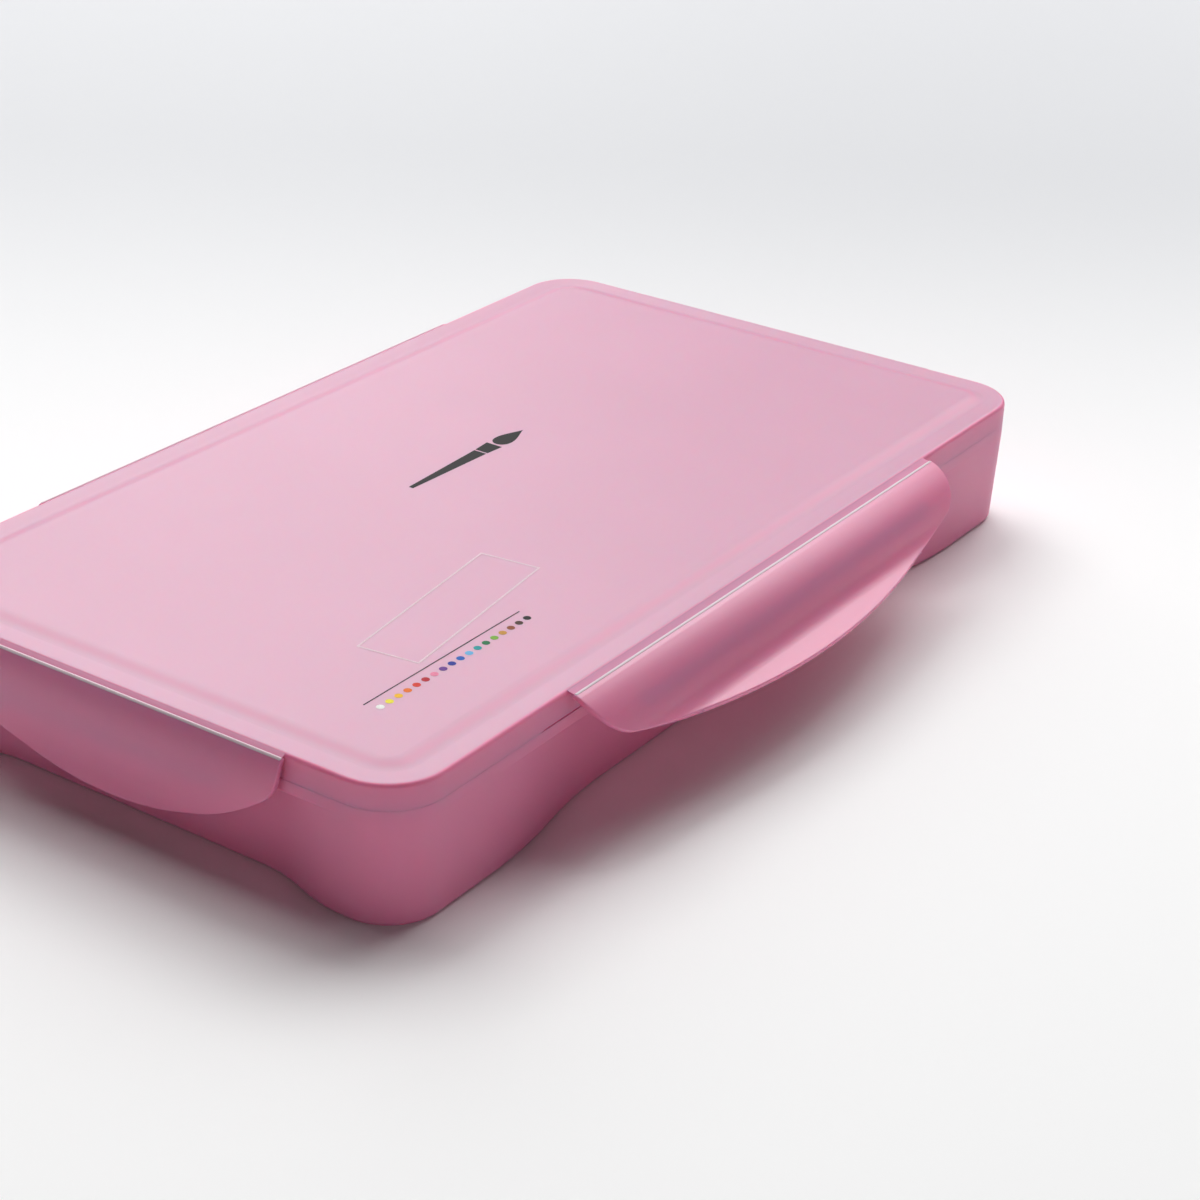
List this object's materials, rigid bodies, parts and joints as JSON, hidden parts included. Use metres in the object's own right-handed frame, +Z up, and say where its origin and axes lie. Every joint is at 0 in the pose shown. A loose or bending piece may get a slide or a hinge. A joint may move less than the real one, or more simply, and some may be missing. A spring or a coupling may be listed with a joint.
{
  "type": "gouache paint set box",
  "caption": "Shallow rounded plastic box of sealed gouache cups, closed by a lift-off lid with a hinged latch flap on each side.",
  "frame": {"origin": "middle of the flat underside, at table level", "axes": "+X along the long side, +Y towards the back, +Z up; the flap on the -Y side is the one that stands open"},
  "size_m": [0.2598, 0.1661, 0.032],
  "materials": {
    "pink_polypropylene": "satin moulded",
    "cup_polypropylene": "natural moulded",
    "clear_film": "clear heat-sealed film",
    "gouache_white": "wet gouache",
    "gouache_lemon": "wet gouache",
    "gouache_yellow": "wet gouache",
    "gouache_orange": "wet gouache",
    "gouache_vermilion": "wet gouache",
    "gouache_crimson": "wet gouache",
    "gouache_pink": "wet gouache",
    "gouache_violet": "wet gouache",
    "gouache_ultramarine": "wet gouache",
    "gouache_cobalt": "wet gouache",
    "gouache_sky": "wet gouache",
    "gouache_turquoise": "wet gouache",
    "gouache_green": "wet gouache",
    "gouache_leaf_green": "wet gouache",
    "gouache_ochre": "wet gouache",
    "gouache_sienna": "wet gouache",
    "gouache_umber": "wet gouache",
    "gouache_black": "wet gouache"
  },
  "bodies": {
    "base": {"base_box": "pink_polypropylene", "cup_01": "cup_polypropylene", "cup_02": "cup_polypropylene", "cup_03": "cup_polypropylene", "cup_04": "cup_polypropylene", "cup_05": "cup_polypropylene", "cup_06": "cup_polypropylene", "cup_07": "cup_polypropylene", "cup_08": "cup_polypropylene", "cup_09": "cup_polypropylene", "cup_10": "cup_polypropylene", "cup_11": "cup_polypropylene", "cup_12": "cup_polypropylene", "cup_13": "cup_polypropylene", "cup_14": "cup_polypropylene", "cup_15": "cup_polypropylene", "cup_16": "cup_polypropylene", "cup_17": "cup_polypropylene", "cup_18": "cup_polypropylene", "paint_01": "gouache_white", "paint_02": "gouache_lemon", "paint_03": "gouache_yellow", "paint_04": "gouache_orange", "paint_05": "gouache_vermilion", "paint_06": "gouache_crimson", "paint_07": "gouache_pink", "paint_08": "gouache_violet", "paint_09": "gouache_ultramarine", "paint_10": "gouache_cobalt", "paint_11": "gouache_sky", "paint_12": "gouache_turquoise", "paint_13": "gouache_green", "paint_14": "gouache_leaf_green", "paint_15": "gouache_ochre", "paint_16": "gouache_sienna", "paint_17": "gouache_umber", "paint_18": "gouache_black", "film_01": "clear_film", "film_02": "clear_film", "film_03": "clear_film", "film_04": "clear_film", "film_05": "clear_film", "film_06": "clear_film", "film_07": "clear_film", "film_08": "clear_film", "film_09": "clear_film", "film_10": "clear_film", "film_11": "clear_film", "film_12": "clear_film", "film_13": "clear_film", "film_14": "clear_film", "film_15": "clear_film", "film_16": "clear_film", "film_17": "clear_film", "film_18": "clear_film"},
    "lid": {"lid": "pink_polypropylene"},
    "flap_front": {"flap_front": "pink_polypropylene"},
    "flap_back": {"flap_back": "pink_polypropylene"},
    "flap_left": {"flap_left": "pink_polypropylene"},
    "flap_right": {"flap_right": "pink_polypropylene"}
  },
  "joints": [
    {"name": "lid_lift", "type": "slide", "parent": "base", "child": "lid", "axis": [0, 0, 1], "range_m": [0, 0.08]},
    {"name": "flap_front_hinge", "type": "hinge", "parent": "lid", "child": "flap_front", "pos_m": [0, -0.07145, 0.0309], "axis": [-1, 0, 0], "range_deg": [-50, 70], "stiffness_Nm_per_rad": 0.02},
    {"name": "flap_back_hinge", "type": "hinge", "parent": "lid", "child": "flap_back", "pos_m": [0, 0.07145, 0.0309], "axis": [1, 0, 0], "range_deg": [-8, 112], "stiffness_Nm_per_rad": 0.02},
    {"name": "flap_left_hinge", "type": "hinge", "parent": "lid", "child": "flap_left", "pos_m": [-0.12545, 0, 0.0309], "axis": [0, 1, 0], "range_deg": [-8, 112], "stiffness_Nm_per_rad": 0.02},
    {"name": "flap_right_hinge", "type": "hinge", "parent": "lid", "child": "flap_right", "pos_m": [0.12545, 0, 0.0309], "axis": [0, -1, 0], "range_deg": [-8, 112], "stiffness_Nm_per_rad": 0.02}
  ]
}
